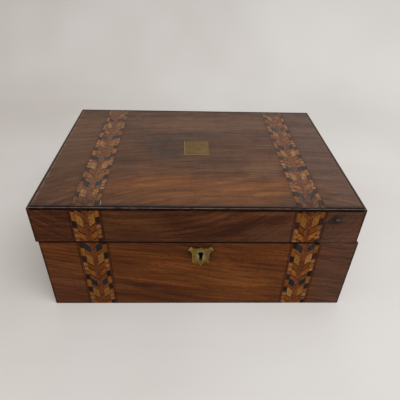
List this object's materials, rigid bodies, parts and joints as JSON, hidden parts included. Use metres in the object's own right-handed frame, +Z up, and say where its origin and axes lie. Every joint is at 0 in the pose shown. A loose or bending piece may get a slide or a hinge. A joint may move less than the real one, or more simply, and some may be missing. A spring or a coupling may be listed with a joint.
{
  "type": "writing slope",
  "caption": "Portable writing slope with parquetry bands, a slanted lid that opens flat, leather writing flaps, a box lock and a pen and ink section.",
  "frame": {"origin": "middle of the base's underside", "axes": "+X along the lock side to the right, +Y from the lock side to the hinges, +Z up"},
  "size_m": [0.3527, 0.2557, 0.1475],
  "materials": {
    "walnut_veneer": "worn satin varnish over figured walnut veneer",
    "rim_walnut": "dark satin facing on the slanted rims",
    "dark_edging": "dark stained rounded bead, worn",
    "parquetry": "chevron marquetry in mixed woods, satin",
    "carcase_wood": "plain sawn board, oiled",
    "inner_mahogany": "smooth satin mahogany",
    "brass": "aged, softly polished",
    "lock_steel": "dull, filed",
    "ink_glass": "clear pressed glass",
    "writing_leather": "smooth green skiver with a gilt line"
  },
  "bodies": {
    "base": {"base_front_board": "carcase_wood", "base_back_board": "carcase_wood", "base_left_board": "carcase_wood", "base_right_board": "carcase_wood", "base_bottom_board": "carcase_wood", "base_rim_facing": "rim_walnut", "base_front_veneer": "walnut_veneer", "base_side_veneers": "walnut_veneer", "base_back_veneer": "walnut_veneer", "base_front_bands": "parquetry", "base_hinge_leaves": "brass", "base_hinge_screws": "brass", "hinge_pins": "brass", "escutcheon": "brass", "lock_case": "lock_steel", "lock_selvedge": "brass", "lock_screws": "brass", "compartment_divider": "inner_mahogany", "inkwell_partitions": "inner_mahogany", "inkwell_platforms": "inner_mahogany", "pen_tray_ledges": "inner_mahogany", "pen_tray": "inner_mahogany", "left_inkwell": "ink_glass", "right_inkwell": "ink_glass", "inkwell_collars": "brass", "inkwell_cap_pins": "brass", "base_flap_bearers": "inner_mahogany", "base_flap_fixed_leaves": "brass"},
    "lid": {"lid_top_board": "carcase_wood", "lid_front_board": "carcase_wood", "lid_back_board": "carcase_wood", "lid_left_board": "carcase_wood", "lid_right_board": "carcase_wood", "lid_rim_facing": "rim_walnut", "lid_top_veneer": "walnut_veneer", "lid_front_veneer": "walnut_veneer", "lid_side_veneers": "walnut_veneer", "lid_back_veneer": "walnut_veneer", "lid_top_bands": "parquetry", "lid_front_bands": "parquetry", "lid_edge_bead": "dark_edging", "name_plate": "brass", "lid_hinge_leaves": "brass", "lid_hinge_screws": "brass", "link_plate": "brass", "link_plate_screws": "brass", "lid_flap_bearers": "inner_mahogany", "lid_flap_fixed_leaves": "brass", "turn_button_screw": "brass"},
    "base_flap": {"base_flap_board": "inner_mahogany", "base_flap_leather": "writing_leather", "base_flap_moving_leaves": "brass"},
    "lid_flap": {"lid_flap_board": "inner_mahogany", "lid_flap_leather": "writing_leather", "lid_flap_moving_leaves": "brass"},
    "lock_bolt": {"lock_bolt": "lock_steel"},
    "turn_button": {"turn_button": "brass"},
    "left_cap": {"left_inkwell_cap": "brass"},
    "right_cap": {"right_inkwell_cap": "brass"}
  },
  "joints": [
    {"name": "lid_hinge", "type": "hinge", "parent": "base", "child": "lid", "pos_m": [0, 0.1264, 0.0735], "axis": [-1, 0, 0], "range_deg": [0, 180]},
    {"name": "base_flap_hinge", "type": "hinge", "parent": "base", "child": "base_flap", "pos_m": [0, 0.10391, 0.07394], "axis": [-1, 0, 0], "range_deg": [0, 85]},
    {"name": "lid_flap_hinge", "type": "hinge", "parent": "lid", "child": "lid_flap", "pos_m": [0, 0.10435, 0.07791], "axis": [1, 0, 0], "range_deg": [0, 85]},
    {"name": "bolt_slide", "type": "slide", "parent": "base", "child": "lock_bolt", "axis": [1, 0, 0], "range_m": [0, 0.004]},
    {"name": "left_cap_hinge", "type": "hinge", "parent": "base", "child": "left_cap", "pos_m": [-0.142, -0.1086, 0.0633], "axis": [1, 0, 0], "range_deg": [0, 95]},
    {"name": "right_cap_hinge", "type": "hinge", "parent": "base", "child": "right_cap", "pos_m": [0.142, -0.1086, 0.0633], "axis": [1, 0, 0], "range_deg": [0, 95]},
    {"name": "button_turn", "type": "hinge", "parent": "lid", "child": "turn_button", "pos_m": [-0.0027, -0.11085, 0.10056], "axis": [0, 0.1083, 0.9941], "range_deg": [0, 90]}
  ],
  "couplings": [
    {"joint": "base_flap_hinge", "follows": "lid_hinge", "ratio": 0.4722},
    {"joint": "lid_flap_hinge", "follows": "lid_hinge", "ratio": 0.4722}
  ]
}
